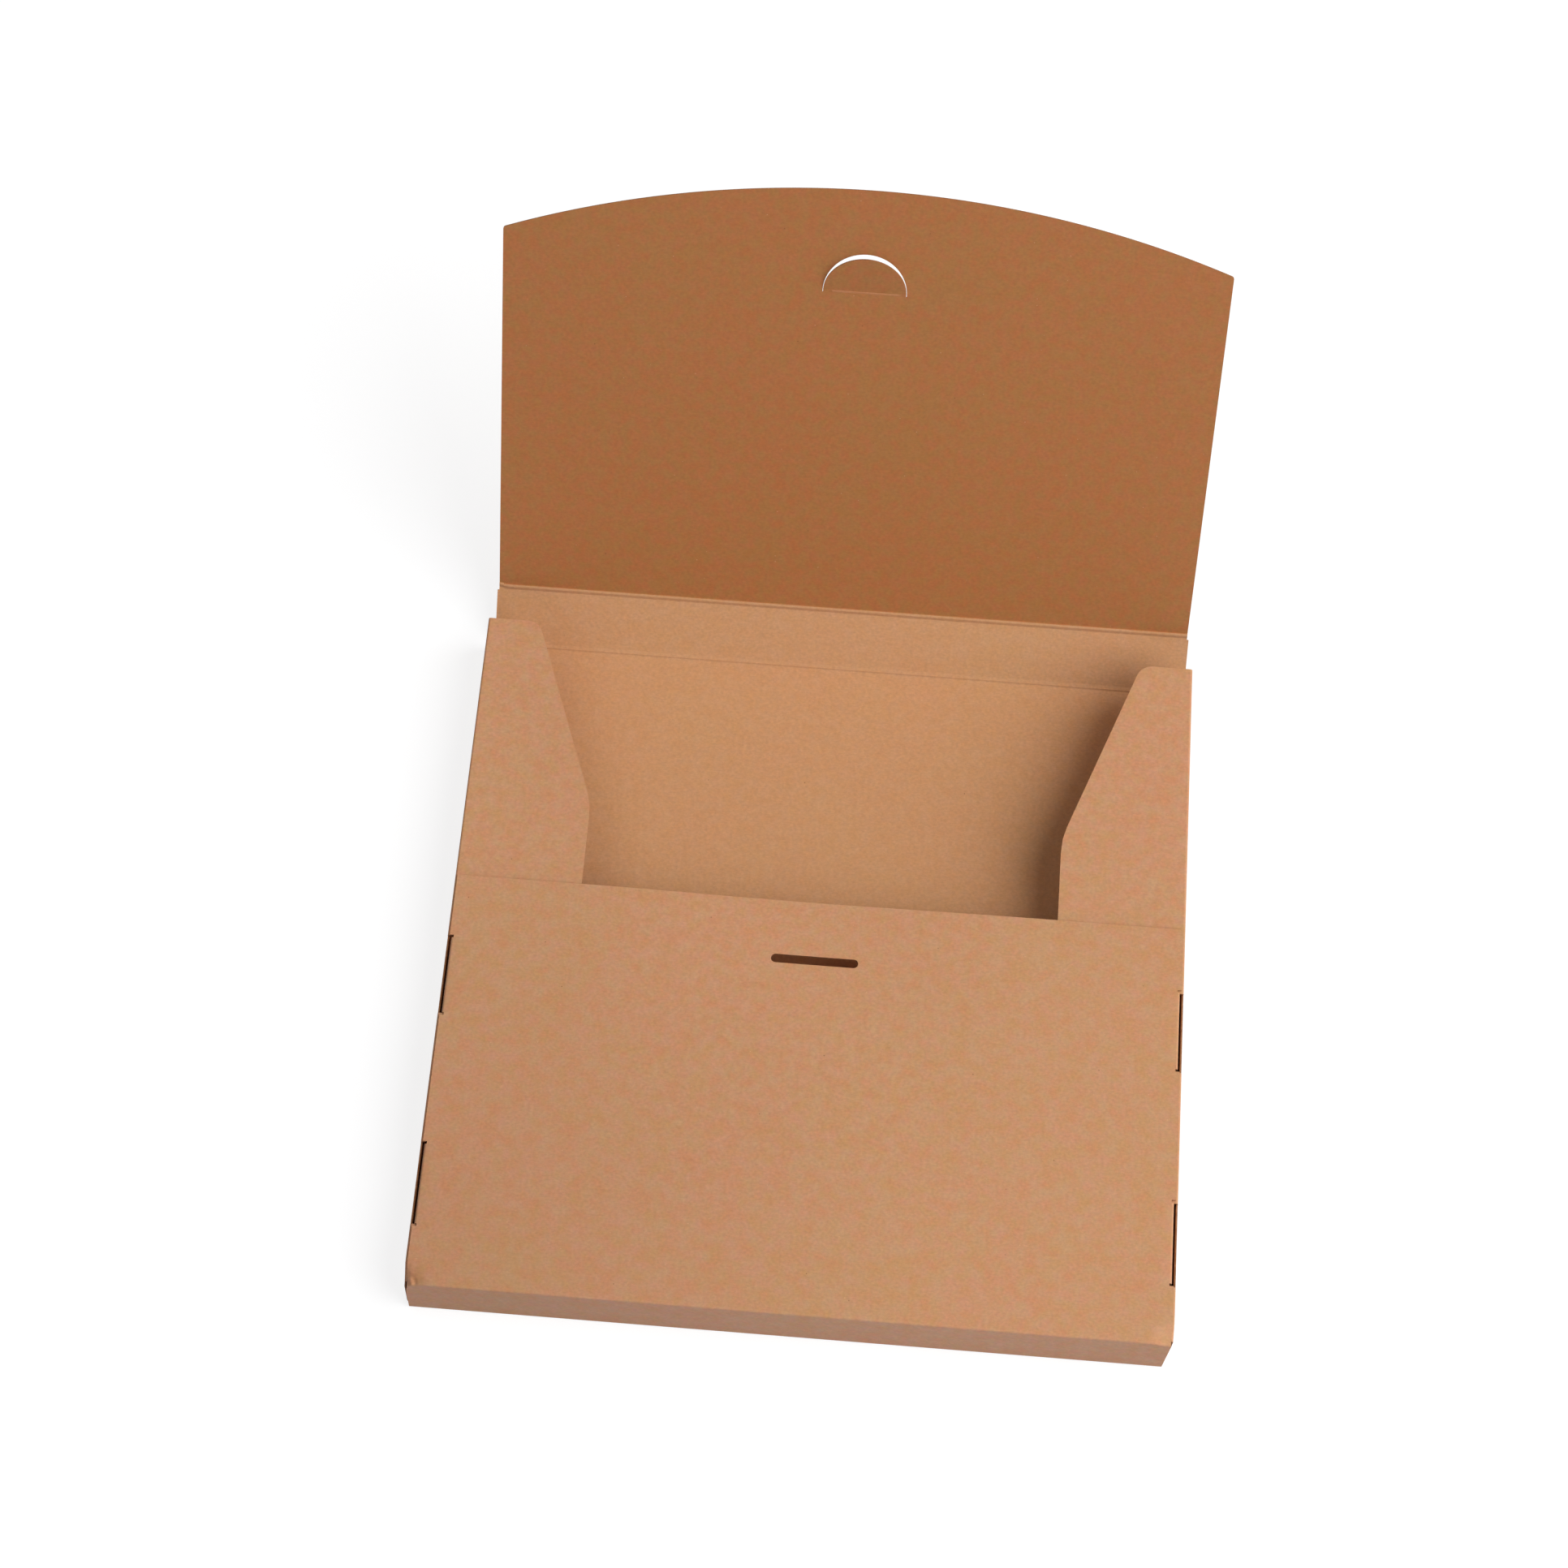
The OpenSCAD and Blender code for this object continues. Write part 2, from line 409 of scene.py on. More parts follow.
def lock_corners(y):
    """Right edge of the front panel past one locking tab, from the rear forwards."""
    middle = panel_v(y)
    slit = LOCK_L / 2 + LOCK_NOTCH
    tip = LOCK_X + FOLD_ARC + LOCK_DEPTH
    return [
        (FRONT_HALF, middle - slit, 0),
        (LOCK_X, middle - slit, 0),
        (LOCK_X, middle - LOCK_L / 2, 0),
        (LOCK_X + FOLD_ARC, middle - LOCK_L / 2, 0),
        (tip, middle - LOCK_L / 2 + LOCK_TAPER, LOCK_R),
        (tip, middle + LOCK_L / 2 - LOCK_TAPER, LOCK_R),
        (LOCK_X + FOLD_ARC, middle + LOCK_L / 2, 0),
        (LOCK_X, middle + LOCK_L / 2, 0),
        (LOCK_X, middle + slit, 0),
        (FRONT_HALF, middle + slit, 0),
    ]


def tray_outline():
    """Outline of the tray's flat sheet."""
    locks = lock_corners(LOCK_YS[1]) + lock_corners(LOCK_YS[0])
    right = [(FRONT_HALF, panel_v(PANEL_REAR_Y), 0)] + locks + [
        (FRONT_HALF, FLOOR_FRONT, 0),
        (FLOOR_HALF, SIDE_FRONT_Y, 0),
        (side_u(HALF_W - SIDE_PANEL_W), SIDE_FRONT_Y, 0),
        (side_u(HALF_W - SIDE_PANEL_W), SIDE_REAR_Y - SIDE_SLANT_L, SIDE_KNEE_R),
        (side_u(HALF_W - SIDE_END_W), SIDE_REAR_Y, SIDE_END_R),
        (FLOOR_HALF, SIDE_REAR_Y, 0),
        (FLOOR_HALF, FLOOR_REAR, 0),
    ]
    return rounded(mirrored(right))


def tray_holes():
    """The tuck slot, and the holes in the side walls that take the locking tabs."""
    slot_v = panel_v(SLOT_Y)
    half = SLOT_W / 2
    slot_corners = rectangle(-SLOT_HALF, slot_v - half, SLOT_HALF, slot_v + half)
    tuck_slot = rounded([(u, v, half * SLOT_ROUND) for u, v, _ in slot_corners])
    low_u = FLOOR_HALF + FOLD_ARC + SIDE_TOP - LOCK_CUT - FOLD_OUT
    high_u = side_u(LOCK_X - LOCK_GAP)
    reach = LOCK_L / 2 + LOCK_GAP
    right = [rectangle(low_u, y - LOCK_SHIFT - reach, high_u, y - LOCK_SHIFT + reach) for y in LOCK_YS]
    left = [rectangle(-high_u, y + LOCK_SHIFT - reach, -low_u, y + LOCK_SHIFT + reach) for y in LOCK_YS]
    return [tuck_slot] + [rounded(hole) for hole in right + left]


def fold_lines(start):
    """Lines across one fold, with some on the leaves beside it."""
    beside = (0.25, 0.9)
    return ([start - gap for gap in beside] + span(start, start + FOLD_ARC, FOLD_ARC / 8)
            + [start + FOLD_ARC + gap for gap in beside])


def tray_rows():
    """Rows of mesh points along every fold of the tray."""
    rows = []
    ys = span(SIDE_FRONT_Y, SIDE_REAR_Y, MESH_STEP)
    for start in (FLOOR_HALF, FLOOR_HALF + FOLD_ARC + SIDE_WALL):
        for u in fold_lines(start):
            for side in (-1, 1):
                rows.append([Vector((side * u, y)) for y in ys])
    xs = span(-FRONT_HALF, FRONT_HALF, MESH_STEP)
    for start in (0, FOLD_ARC + FRONT_WALL):
        for run in fold_lines(start):
            rows.append([Vector((x, FLOOR_FRONT - run)) for x in xs])
    for y in LOCK_YS:
        vs = span(panel_v(y) - LOCK_L / 2, panel_v(y) + LOCK_L / 2, MESH_STEP)
        for u in fold_lines(LOCK_X)[2:]:
            for side in (-1, 1):
                rows.append([Vector((side * u, v)) for v in vs])
    return rows


def tray_lattice():
    """Even points over the tray's flat sheet and round it."""
    end_u = side_u(HALF_W - SIDE_PANEL_W)
    us = span(-end_u, end_u, MESH_STEP)
    vs = span(panel_v(PANEL_REAR_Y), FLOOR_REAR, MESH_STEP)
    return [Vector((u, v)) for u in us for v in vs]


def place_front_arm(u, v):
    """Place on the front wall, on the front panel, or on a locking tab where it turns down."""
    run = FLOOR_FRONT - v
    out, up, heading = folded(run, (0, FRONT_WALL))
    middle = Vector((u, FLOOR_FRONT - out, BOARD / 2 + up))
    normal = Vector((0, math.sin(heading), math.cos(heading)))
    past = abs(u) - LOCK_X
    on_panel = run > 2 * FOLD_ARC + FRONT_WALL
    if past <= 0 or not on_panel:
        return middle, normal
    beside_tab = all(abs(middle.y - y) > LOCK_L / 2 + LOCK_NOTCH / 8 for y in LOCK_YS)
    if beside_tab:
        return middle, normal
    side = math.copysign(1, u)
    out, down, heading = folded(past, (0,))
    middle = Vector((side * (LOCK_X + out), middle.y, middle.z - down))
    return middle, Vector((-side * math.sin(heading), 0, -math.cos(heading)))


def place_folded(u, v):
    """Place on the folded tray, before handling."""
    if v < FLOOR_FRONT:
        return place_front_arm(u, v)
    side = math.copysign(1, u)
    out, up, heading = folded(max(0.0, abs(u) - FLOOR_HALF), (0, SIDE_WALL))
    x = min(abs(u), FLOOR_HALF) + out
    middle = Vector((side * x, v, BOARD / 2 + up))
    return middle, Vector((-side * math.sin(heading), 0, math.cos(heading)))


def bell(x, width):
    """Smooth bump that is 1 at 0 and fades out at the width."""
    return 0.5 + 0.5 * math.cos(math.pi * min(1.0, abs(x) / width))


def ramp(x, low, high):
    """Smooth step from 0 at low to 1 at high."""
    t = min(1.0, max(0.0, (x - low) / (high - low)))
    return t * t * (3 - 2 * t)


def ripple(x, y, size):
    """Gentle unevenness from 0 to 1 that repeats nowhere."""
    return 0.5 + 0.5 * noise.noise(Vector((x / size, y / size, 0.37)))


def panel_drop(middle):
    """How far the front panel has sagged and rippled at a point."""
    drop = PANEL_RIPPLE * ripple(middle.x, middle.y, PANEL_RIPPLE_SIZE)
    drop *= ramp(middle.y + HALF_D, 0, PANEL_RIPPLE_START)
    sag = PANEL_SAG * bell(middle.x, OPENING_HALF)
    return drop + sag * ramp(middle.y, -HALF_D + PANEL_SAG_START, PANEL_REAR_Y)


def left_corner_drop(middle):
    """The worn shoulder at the front left corner, and the pleat pressed into it."""
    from_left = middle.x + HALF_W
    from_front = middle.y + HALF_D
    shoulder = SHOULDER_DROP * bell(from_left, SHOULDER_W) * bell(from_front, SHOULDER_L)
    out = math.hypot(from_left, from_front) - PLEAT_R
    pleat = bell(out + PLEAT_SPREAD, PLEAT_HALF) - bell(out - PLEAT_SPREAD, PLEAT_HALF)
    return shoulder - PLEAT_HEIGHT * pleat


def settle(middle):
    """Where handling has left a point of the tray: the front panel sags and its corners are soft."""
    up = middle.z / BOX_H
    drop = ramp(up, 0.90, 0.95) * (panel_drop(middle) + left_corner_drop(middle))
    from_right_corner = math.hypot(middle.x - HALF_W, middle.y + HALF_D)
    inward = RIGHT_TUCK * bell(from_right_corner, RIGHT_TUCK_REACH) * (1 - up)
    for side, pinch in CORNER_PINCH.items():
        near = bell((middle - Vector((side * HALF_W, -HALF_D, BOX_H))).length, CORNER_REACH)
        drop += CORNER_DROOP * near
        inward += side * pinch * near
    return middle - Vector((inward, 0, drop))


def place_tray(u, v):
    """Place on the tray as it stands."""
    middle, normal = place_folded(u, v)
    return settle(middle), normal


def leaf(origin, tilt):
    """Place on a flat leaf that rises at a tilt from a crease along X."""
    along = Vector((0, math.cos(tilt), math.sin(tilt)))
    normal = Vector((0, -math.sin(tilt), math.cos(tilt)))
    return lambda u, v: (origin + Vector((u, 0, 0)) + along * v, normal)


def flat_lattice(half, low, high):
    """Even points over a leaf that starts at a crease."""
    return [Vector((u, v)) for u in span(-half, half, MESH_STEP) for v in span(low, high, MESH_STEP)]


def tray_spots():
    """Fine mesh at the two soft corners, and finest where the left one is pleated."""
    fold_v = panel_v(FLOOR_FRONT) + FOLD_ARC / 2
    corners = [(Vector((side * FRONT_HALF, fold_v)), CORNER_REACH, CORNER_STEP) for side in (-1, 1)]
    pleat = Vector((-FRONT_HALF + PLEAT_MESH_INSET, fold_v - PLEAT_MESH_INSET))
    return corners + [(pleat, PLEAT_MESH_REACH, PLEAT_STEP)]


def make_tray():
    triangles = triangulate(
        tray_outline(), tray_holes(), tray_lattice(), tray_rows(), MESH_STEP, tray_spots())
    return sheet("tray_board", triangles, place_tray)


def make_back_wall():
    outline = rounded(rectangle(-BACK_HALF, CREASE_W, BACK_HALF, BACK_H - CREASE_W))
    lattice = flat_lattice(BACK_HALF, CREASE_W, BACK_H - CREASE_W)
    triangles = triangulate(outline, [], lattice, [], MESH_STEP)
    return sheet("back_wall_board", triangles, leaf(BACK_CREASE, BACK_FOLD))


def lid_outline():
    """Straight sides and an arched free edge."""
    arc_r = (LID_HALF ** 2 + LID_RISE ** 2) / (2 * LID_RISE)
    arc_mid_v = LID_SIDE_L + LID_RISE - arc_r
    half_angle = math.asin(LID_HALF / arc_r)
    crown = []
    for angle in span(half_angle, -half_angle, -half_angle / ARC_STEPS):
        corner_r = LID_CORNER_R if abs(angle) == half_angle else 0
        crown.append((arc_r * math.sin(angle), arc_mid_v + arc_r * math.cos(angle), corner_r))
    return rounded([(-LID_HALF, CREASE_W, 0), (LID_HALF, CREASE_W, 0)] + crown)


def tuck_hole():
    """What the tuck tab and its crease take out of the lid."""
    reach = TUCK_R + TUCK_KERF
    root = [(side * reach, TUCK_ROOT - TUCK_CREASE_W, 0) for side in (-1, 1)]
    arc = [(reach * math.cos(a), TUCK_ROOT + reach * math.sin(a), 0)
           for a in span(0, math.pi, math.pi / ARC_STEPS)]
    return rounded(root + arc)


def place_lid(u, v):
    """The lid bows a little to its inside, but not at its crease or round the tuck tab."""
    middle, normal = leaf(LID_CREASE, BACK_FOLD + LID_FOLD)(u, v)
    from_tab = math.hypot(u, v - TUCK_ROOT)
    crown_v = LID_SIDE_L + LID_RISE
    free = ramp(v, CREASE_W, LID_RIPPLE_START)
    free *= ramp(from_tab, TUCK_R + 1, TUCK_R + TAB_STIFF)
    free *= ramp(crown_v - v, 1, LID_RIPPLE_START)
    return middle + normal * LID_RIPPLE * free * ripple(u, v, LID_RIPPLE_SIZE), normal


def make_lid():
    lattice = flat_lattice(LID_HALF, CREASE_W, LID_SIDE_L + LID_RISE)
    triangles = triangulate(lid_outline(), [tuck_hole()], lattice, [], MESH_STEP)
    return sheet("lid_board", triangles, place_lid)


def make_tuck_tab():
    lift = math.asin(TUCK_CREASE_W / TUCK_R)
    arc = [(TUCK_R * math.cos(a), TUCK_R * math.sin(a), 0)
           for a in span(lift, math.pi - lift, math.pi / ARC_STEPS)]
    lattice = flat_lattice(TUCK_R, TUCK_CREASE_W, TUCK_R)
    triangles = triangulate(rounded(arc), [], lattice, [], MESH_STEP / 2)
    return sheet("tuck_tab_board", triangles, leaf(TUCK_CREASE, BACK_FOLD + LID_FOLD + TUCK_FOLD))


def crease_strip(name, origin, tilt, fold, half, reach, place_bead, inside_slot):
    """Scored strip between two leaves: a tight bend with a pressed bead along its inside."""
    tangent = BEND_R * math.tan(fold / 2)
    arc = BEND_R * fold
    before = leaf(origin, tilt)
    after = leaf(origin, tilt + fold)
    low, high = -(reach - tangent) - arc / 2, (reach - tangent) + arc / 2

    def place(u, v):
        lift = place_bead(u, v)
        if v <= -arc / 2:
            middle, normal = before(u, v + arc / 2 - tangent)
        elif v >= arc / 2:
            middle, normal = after(u, v - arc / 2 + tangent)
        else:
            start, first_normal = before(u, -tangent)
            turned = (v + arc / 2) / BEND_R
            along = Vector((0, math.cos(tilt), math.sin(tilt)))
            middle = start + along * BEND_R * math.sin(turned)
            middle += first_normal * BEND_R * (1 - math.cos(turned))
            normal = leaf(origin, tilt + turned)(0, 0)[1]
        return middle + normal * lift, normal

    us = span(-half, half, MESH_STEP)
    rows = [[Vector((u, v)) for u in us] for v in span(low, high, STRIP_STEP)[1:-1]]
    outline = rounded(rectangle(-half, low, half, high))
    return sheet(name, triangulate(outline, [], [], rows, MESH_STEP), place, inside_slot)


def bead(v, shape):
    """Height of a pressed bead across its crease."""
    height, near_low, near_high, far_low, far_high = shape
    return height * ramp(v, near_low, near_high) * (1 - ramp(v, far_low, far_high))


def lid_crease_v(u):
    """The crease runs straight, but turns up onto the lid at its left end."""
    return LID_CREASE_TURN * bell(u + LID_HALF, LID_CREASE_TURN_L)


def lid_bead(u, v):
    """Pressed ridge on the back wall's side of the lid's crease."""
    return bead(v - lid_crease_v(u), LID_BEAD)


def back_bead(u, v):
    """Pressed ridge with its steep side to the floor."""
    return bead(v, BACK_BEAD)


def tuck_bead(u, v):
    """Low ridge that fades out before the tab's ends."""
    from_end = TUCK_R - abs(u - TUCK_BEAD_SHIFT)
    return TUCK_BEAD_HEIGHT * bell(v, TUCK_BEAD_HALF) * ramp(from_end, 0.5, TUCK_LINE_END)


def lid_crease_slot(u, v):
    """The lid's paper with painted shade past the crease, and a line of painted shade on the back wall's
    side of it.
    """
    v -= lid_crease_v(u)
    if v > LID_SHADE_START:
        return LINE_SLOT
    low, high = LID_CREASE_SHADE
    return CREASE_SHADE_SLOT if low < v < high else INSIDE_SLOT


def back_crease_slot(u, v):
    """A line of painted shade beside the crease, on the floor's side."""
    low, high = BACK_CREASE_SHADE
    return CREASE_SHADE_SLOT if low < v < high else INSIDE_SLOT


def tuck_crease_slot(u, v):
    """The paler line along the middle of the tuck tab's crease: a painted highlight."""
    along = abs(u - TUCK_BEAD_SHIFT) < TUCK_R - TUCK_LINE_END
    return LINE_SLOT if along and abs(v) < TUCK_BEAD_HALF else INSIDE_SLOT


def make_creases():
    """The strips that join the four leaves."""
    back = crease_strip(
        "back_crease", BACK_CREASE, 0, BACK_FOLD, BACK_HALF, CREASE_W, back_bead, back_crease_slot)
    lid = crease_strip(
        "lid_crease", LID_CREASE, BACK_FOLD, LID_FOLD, LID_HALF, CREASE_W, lid_bead, lid_crease_slot)
    tuck = crease_strip(
        "tuck_crease", TUCK_CREASE, BACK_FOLD + LID_FOLD, TUCK_FOLD, TUCK_R, TUCK_CREASE_W,
        tuck_bead, tuck_crease_slot)
    return back, lid, tuck


# Materials

def srgb(r, g, b):
    """Linear colour from 8-bit values."""
    return tuple(((c / 255 + 0.055) / 1.055) ** 2.4 for c in (r, g, b)) + (1,)


def new_material(name):
    material = bpy.data.materials.new(name)
    material.use_nodes = True
    material.node_tree.nodes.clear()
    return material, material.node_tree.nodes, material.node_tree.links


def noise_at(nodes, links, size, detail, stretch=(1, 1, 1)):
    """Noise whose patches are about size millimetres across, drawn out along some axes."""
    place = nodes.new("ShaderNodeTexCoord")
    mapping = nodes.new("ShaderNodeMapping")
    mapping.inputs["Scale"].default_value = [1 / (size * MM * along) for along in stretch]
    texture = nodes.new("ShaderNodeTexNoise")
    texture.inputs["Scale"].default_value = 1
    texture.inputs["Detail"].default_value = detail
    links.new(place.outputs["Object"], mapping.inputs["Vector"])
    links.new(mapping.outputs[0], texture.inputs["Vector"])
    return texture.outputs["Fac"]


def remap(nodes, links, value, low, high, to_low, to_high):
    """The value moved from one range to another."""
    node = nodes.new("ShaderNodeMapRange")
    node.inputs["From Min"].default_value = low
    node.inputs["From Max"].default_value = high
    node.inputs["To Min"].default_value = to_low
    node.inputs["To Max"].default_value = to_high
    links.new(value, node.inputs["Value"])
    return node.outputs[0]


def spread(nodes, links, texture, low, high):
    """Noise whose usual range, 0.3 to 0.7, is drawn out to low and high."""
    return remap(nodes, links, texture, 0.3, 0.7, low, high)


def combine(nodes, links, operation, a, b):
    """Sum, product or the like of two values, each a number or the output of a node."""
    node = nodes.new("ShaderNodeMath")
    node.operation = operation
    for socket, value in zip(node.inputs, (a, b)):
        if isinstance(value, (int, float)):
            socket.default_value = value
        else:
            links.new(value, socket)
    return node.outputs[0]


def mixed(nodes, links, factor, a, b):
    """Colour between a and b, each a colour or the output of a node."""
    node = nodes.new("ShaderNodeMix")
    node.data_type = "RGBA"
    links.new(factor, node.inputs["Factor"])
    for name, value in (("A", a), ("B", b)):
        socket = next(i for i in node.inputs if i.name == name and i.type == "RGBA")
        if isinstance(value, tuple):
            socket.default_value = value
        else:
            links.new(value, socket)
    return next(o for o in node.outputs if o.type == "RGBA")


def specks(nodes, links, spacing, radius, share):
    """Mask of small dots, one in a share of the cells that are spacing millimetres wide."""
    place = nodes.new("ShaderNodeTexCoord")
    cells = nodes.new("ShaderNodeTexVoronoi")
    cells.inputs["Scale"].default_value = 1 / (spacing * MM)
    links.new(place.outputs["Object"], cells.inputs["Vector"])
    rim = radius / spacing
    dot = remap(nodes, links, cells.outputs["Distance"], rim, rim * 0.5, 0, 1)
    draw = nodes.new("ShaderNodeSeparateColor")
    links.new(cells.outputs["Color"], draw.inputs[0])
    chosen = combine(nodes, links, "GREATER_THAN", draw.outputs[0], 1 - share)
    return combine(nodes, links, "MULTIPLY", dot, chosen)


def painted_corner_shade(nodes, links):
    """Painted shade: the share of the paper's tone that is kept, darker round the front left corner."""
    place = nodes.new("ShaderNodeTexCoord")
    away = nodes.new("ShaderNodeVectorMath")
    away.operation = "DISTANCE"
    away.inputs[1].default_value = (-HALF_W * MM, -HALF_D * MM, BOX_H * MM)
    links.new(place.outputs["Object"], away.inputs[0])
    core, reach = CORNER_SHADE_CORE * MM, CORNER_SHADE_REACH * MM
    return remap(nodes, links, away.outputs["Value"], core, reach, CORNER_SHADE_TONE, 1)


def paper_colour(nodes, links, rosy, olive, mottling, tinting, grain, fibres):
    """Paper between two hues, with its grain and fibres in the tone, and painted shade round the front
    left corner.
    """
    mottle = noise_at(nodes, links, MOTTLE_SIZE, 3)
    drift = noise_at(nodes, links, DRIFT_SIZE, 2)
    tint = noise_at(nodes, links, TINT_SIZE, 3)
    hue = combine(nodes, links, "ADD", spread(nodes, links, mottle, -mottling, mottling),
                  spread(nodes, links, drift, 0.25, 0.75))
    grained = combine(nodes, links, "ADD", spread(nodes, links, grain, -0.075, 0.075),
                      spread(nodes, links, fibres, 0.95, 1.05))
    paper = nodes.new("ShaderNodeHueSaturation")
    links.new(mixed(nodes, links, hue, rosy, olive), paper.inputs["Color"])
    tone = combine(nodes, links, "MULTIPLY", grained, painted_corner_shade(nodes, links))
    links.new(tone, paper.inputs["Value"])
    links.new(spread(nodes, links, tint, 1 - tinting, 1 + tinting), paper.inputs["Saturation"])
    return paper.outputs[0]


def flecked(nodes, links, paper):
    """The paper with a few pale flecks and dark specks."""
    pale = combine(nodes, links, "MULTIPLY", specks(nodes, links, *PALE_SPECKS), 0.35)
    dark = combine(nodes, links, "MULTIPLY", specks(nodes, links, *DARK_SPECKS), 0.55)
    with_pale = mixed(nodes, links, pale, paper, srgb(232, 190, 150))
    return mixed(nodes, links, dark, with_pale, srgb(84, 48, 26))


def kraft(name, rosy, olive, mottling, tinting):
    """Kraft paper between two hues; mottling and tinting say how far its patches differ."""
    material, nodes, links = new_material(name)
    out = nodes.new("ShaderNodeOutputMaterial")
    shader = nodes.new("ShaderNodeBsdfPrincipled")
    links.new(shader.outputs[0], out.inputs[0])
    grain = noise_at(nodes, links, GRAIN_SIZE, 4)
    fibres = noise_at(nodes, links, FIBRE_SIZE, 3, FIBRE_STRETCH)
    paper = paper_colour(nodes, links, rosy, olive, mottling, tinting, grain, fibres)
    links.new(flecked(nodes, links, paper), shader.inputs["Base Color"])
    links.new(spread(nodes, links, grain, 0.72, 0.9), shader.inputs["Roughness"])
    shader.inputs["Specular IOR Level"].default_value = 0.25
    bump = nodes.new("ShaderNodeBump")
    bump.inputs["Strength"].default_value = 0.35
    bump.inputs["Distance"].default_value = BUMP_HEIGHT * MM
    links.new(combine(nodes, links, "ADD", fibres, grain), bump.inputs["Height"])
    links.new(bump.outputs[0], shader.inputs["Normal"])
    return material


def cut_edge():
    """Cut edge of the board, darker than its faces, with layers along its length."""
    material, nodes, links = new_material("kraft_cut_edge")
    out = nodes.new("ShaderNodeOutputMaterial")
    shader = nodes.new("ShaderNodeBsdfPrincipled")
    links.new(shader.outputs[0], out.inputs[0])
    layers = noise_at(nodes, links, LAYER_SIZE, 2, LAYER_STRETCH)
    fuzz = noise_at(nodes, links, FUZZ_SIZE, 2)
    shade = combine(nodes, links, "ADD", spread(nodes, links, layers, -0.2, 0.5),
                    spread(nodes, links, fuzz, 0, 0.5))
    board = mixed(nodes, links, shade, srgb(133, 86, 55), srgb(176, 127, 88))
    links.new(board, shader.inputs["Base Color"])
    shader.inputs["Roughness"].default_value = 0.95
    shader.inputs["Specular IOR Level"].default_value = 0.1
    return material


# The outside, the inside, the lid's inside with painted shade and warm bounce, a painted highlight line
# and a painted shade line along a crease
KRAFT = kraft("kraft_paper", srgb(199, 141, 105), srgb(193, 146, 103), 0.6, 0.05)
KRAFT_INSIDE = kraft("kraft_paper_inside", srgb(198, 143, 102), srgb(195, 146, 101), 0.25, 0.03)
KRAFT_LID_PAINTED_SHADE = kraft("kraft_paper_painted_shade", srgb(173, 107, 62), srgb(165, 112, 62), 0.7, 0.012)
KRAFT_PAINTED_HIGHLIGHT = kraft("kraft_paper_painted_highlight", srgb(187, 121, 80), srgb(182, 125, 78), 0.3, 0.02)
KRAFT_PAINTED_CREASE_SHADE = kraft("kraft_paper_painted_crease_shade", srgb(184, 131, 93), srgb(181, 134, 92), 0.25, 0.03)
KRAFT_CUT = cut_edge()


def dress(piece, inside, outside, body=None, line=None):
    """Gives a piece its papers in the order of the slots; line is the paper of the line slot."""
    for material in (inside, outside, KRAFT_CUT, line or inside, KRAFT_PAINTED_CREASE_SHADE):
        piece.data.materials.append(material)
    if body:
        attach(piece, body)


tray_board = make_tray()
back_wall_board = make_back_wall()
lid_board = make_lid()
tuck_tab_board = make_tuck_tab()
back_crease, lid_crease, tuck_crease = make_creases()

dress(tray_board, KRAFT_INSIDE, KRAFT, "tray")
dress(back_wall_board, KRAFT_INSIDE, KRAFT, "back_wall")
# The lid and the tuck tab take a darker, warmer inside paper: painted shade and painted warm bounce
# light.
dress(lid_board, KRAFT_LID_PAINTED_SHADE, KRAFT, "lid")
dress(tuck_tab_board, KRAFT_LID_PAINTED_SHADE, KRAFT, "tuck_tab")
# Along the creases: lines of painted shade, the lid's painted shade past its crease, and a painted
# highlight on the tuck tab's crease.
dress(back_crease, KRAFT_INSIDE, KRAFT)
dress(lid_crease, KRAFT_INSIDE, KRAFT, line=KRAFT_LID_PAINTED_SHADE)
dress(tuck_crease, KRAFT_LID_PAINTED_SHADE, KRAFT, line=KRAFT_PAINTED_HIGHLIGHT)
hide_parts("tray")
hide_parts("back_wall")
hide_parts("lid")
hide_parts("tuck_tab")


def blend_crease(piece, origin, tilt, fold, half):
    """Bakes a crease's strip into its mesh; where its blend between the two leaves would end is worked
    out but not used.
    """
    reach = half * BLEND_SHARE
    ends = [leaf(origin, tilt)(0, -reach)[0] * MM, leaf(origin, tilt + fold)(0, reach)[0] * MM]
    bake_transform(piece)


blend_crease(back_crease, BACK_CREASE, 0, BACK_FOLD, CREASE_W)
blend_crease(lid_crease, LID_CREASE, BACK_FOLD, LID_FOLD, CREASE_W)
blend_crease(
    tuck_crease, TUCK_CREASE, BACK_FOLD + LID_FOLD, TUCK_FOLD, TUCK_CREASE_W)


# Stage, lamps and camera, in metres
STAGE_HALF = 4.0
STAGE_Z = -0.0001
STAGE_COLOUR = (0.5, 0.62, 0.9, 1)
STAGE_SEEN_COLOUR = (0.3, 0.3, 0.3, 1)
STAGE_GLOW = 0.78
AIR_LIGHT = 0.05
WHITE = 1.0


def seen_directly(nodes, links):
    """1 for a camera ray and for a ray that carries the picture through gloss or glass."""
    path = nodes.new("ShaderNodeLightPath")
    camera, glossy, glass = (
        path.outputs["Is %s Ray" % kind] for kind in ("Camera", "Glossy", "Transmission"))
    mirrored_too = combine(nodes, links, "MAXIMUM", camera, glossy)
    return combine(nodes, links, "MAXIMUM", mirrored_too, glass)


